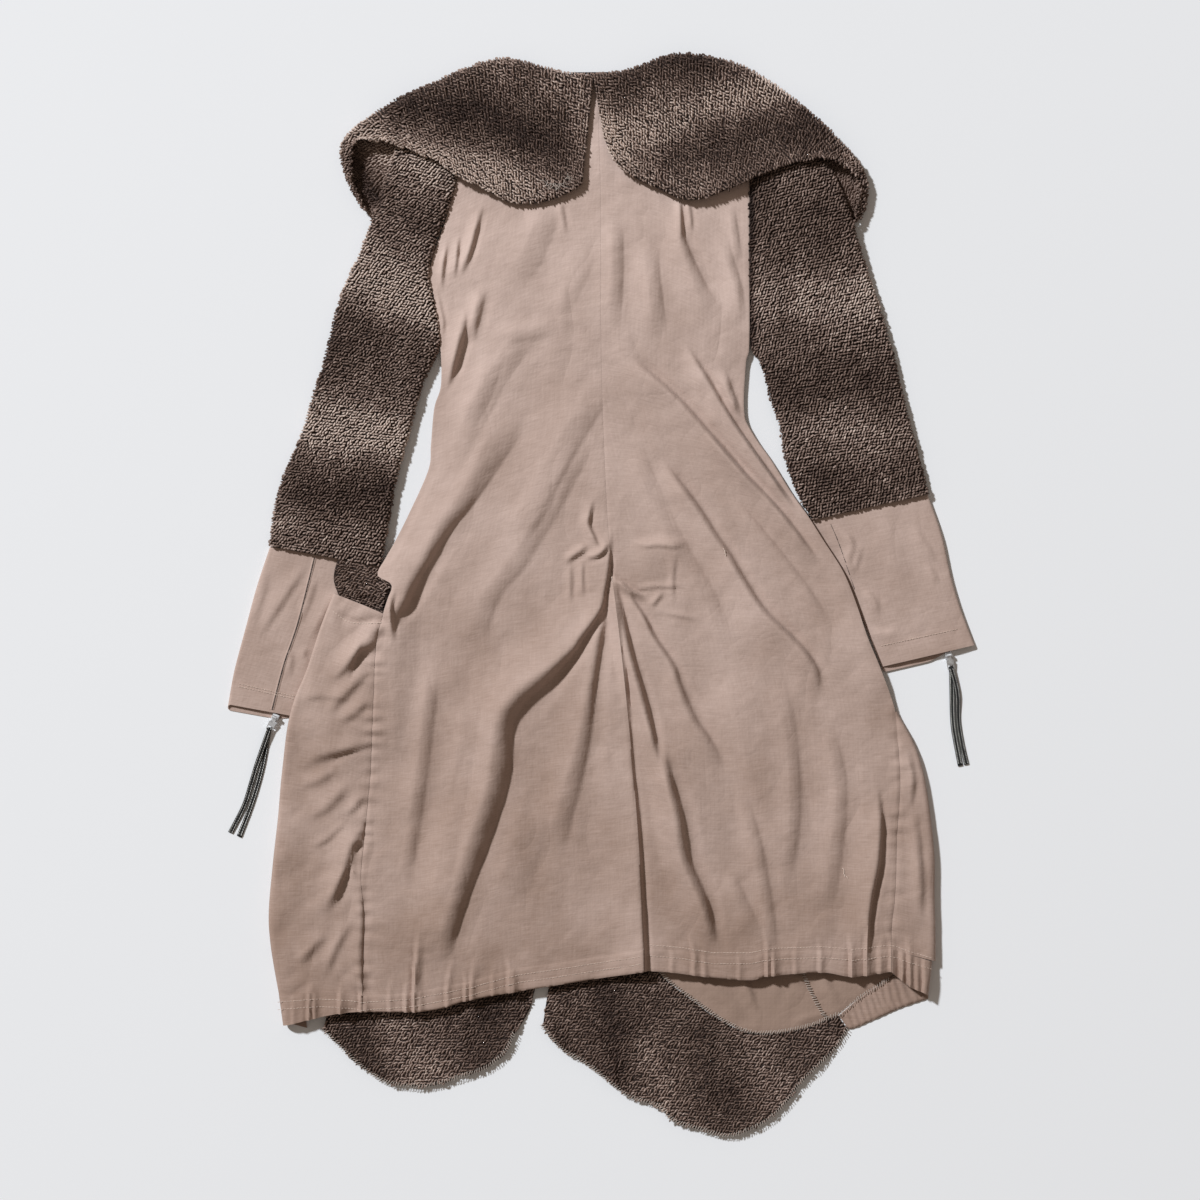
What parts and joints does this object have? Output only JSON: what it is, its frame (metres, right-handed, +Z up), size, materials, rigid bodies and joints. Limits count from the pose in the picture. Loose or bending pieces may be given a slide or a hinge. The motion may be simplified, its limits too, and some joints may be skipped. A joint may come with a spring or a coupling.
{
  "type": "knit coat",
  "caption": "Long coat laid flat on its front: knit sleeves, wide collar and fronts, woven back and sides, elastic hem, zipped cuffs with leather pulls.",
  "frame": {"origin": "middle of the outline's box, on the surface that the coat lies on", "axes": "+X to the right as the back is seen, +Y towards the collar, +Z up off the surface"},
  "size_m": [0.8947, 1.2946, 0.0257],
  "materials": {
    "woven": "matt woven cotton, creased",
    "knit": "thick space-dyed knit with a loopy face",
    "tape": "dark woven tape",
    "metal": "bright nickel",
    "leather": "black, stitched with pale thread"
  },
  "bodies": {
    "coat": {"back_left": "woven", "back_right": "woven", "side_left": "woven", "side_right": "woven", "hem_casing_back_left": "woven", "hem_casing_back_right": "woven", "hem_casing_side_left": "woven", "hem_casing_side_right": "woven", "hem_casing_front_right": "woven", "front_side_right": "woven", "cuff_left": "woven", "cuff_right": "woven", "front_left": "knit", "front_right": "knit", "sleeve_left": "knit", "sleeve_right": "knit", "collar_left": "knit", "collar_right": "knit", "pocket_facing": "knit", "zip_left": "tape", "zip_right": "tape", "neck_tape": "tape", "zip_slider_left": "metal", "zip_slider_right": "metal"},
    "pull_left": {"pull_tab_left": "metal", "pull_strap_left": "leather"},
    "pull_right": {"pull_tab_right": "metal", "pull_strap_right": "leather"}
  },
  "joints": [
    {"name": "pull_left_lift", "type": "hinge", "parent": "coat", "child": "pull_left", "pos_m": [-0.3899, -0.1466, 0.0074], "axis": [-0.8988, 0.4384, 0], "range_deg": [0, 150]},
    {"name": "pull_right_lift", "type": "hinge", "parent": "coat", "child": "pull_right", "pos_m": [0.417, -0.0723, 0.0074], "axis": [-0.9781, -0.2079, 0], "range_deg": [0, 150]}
  ]
}
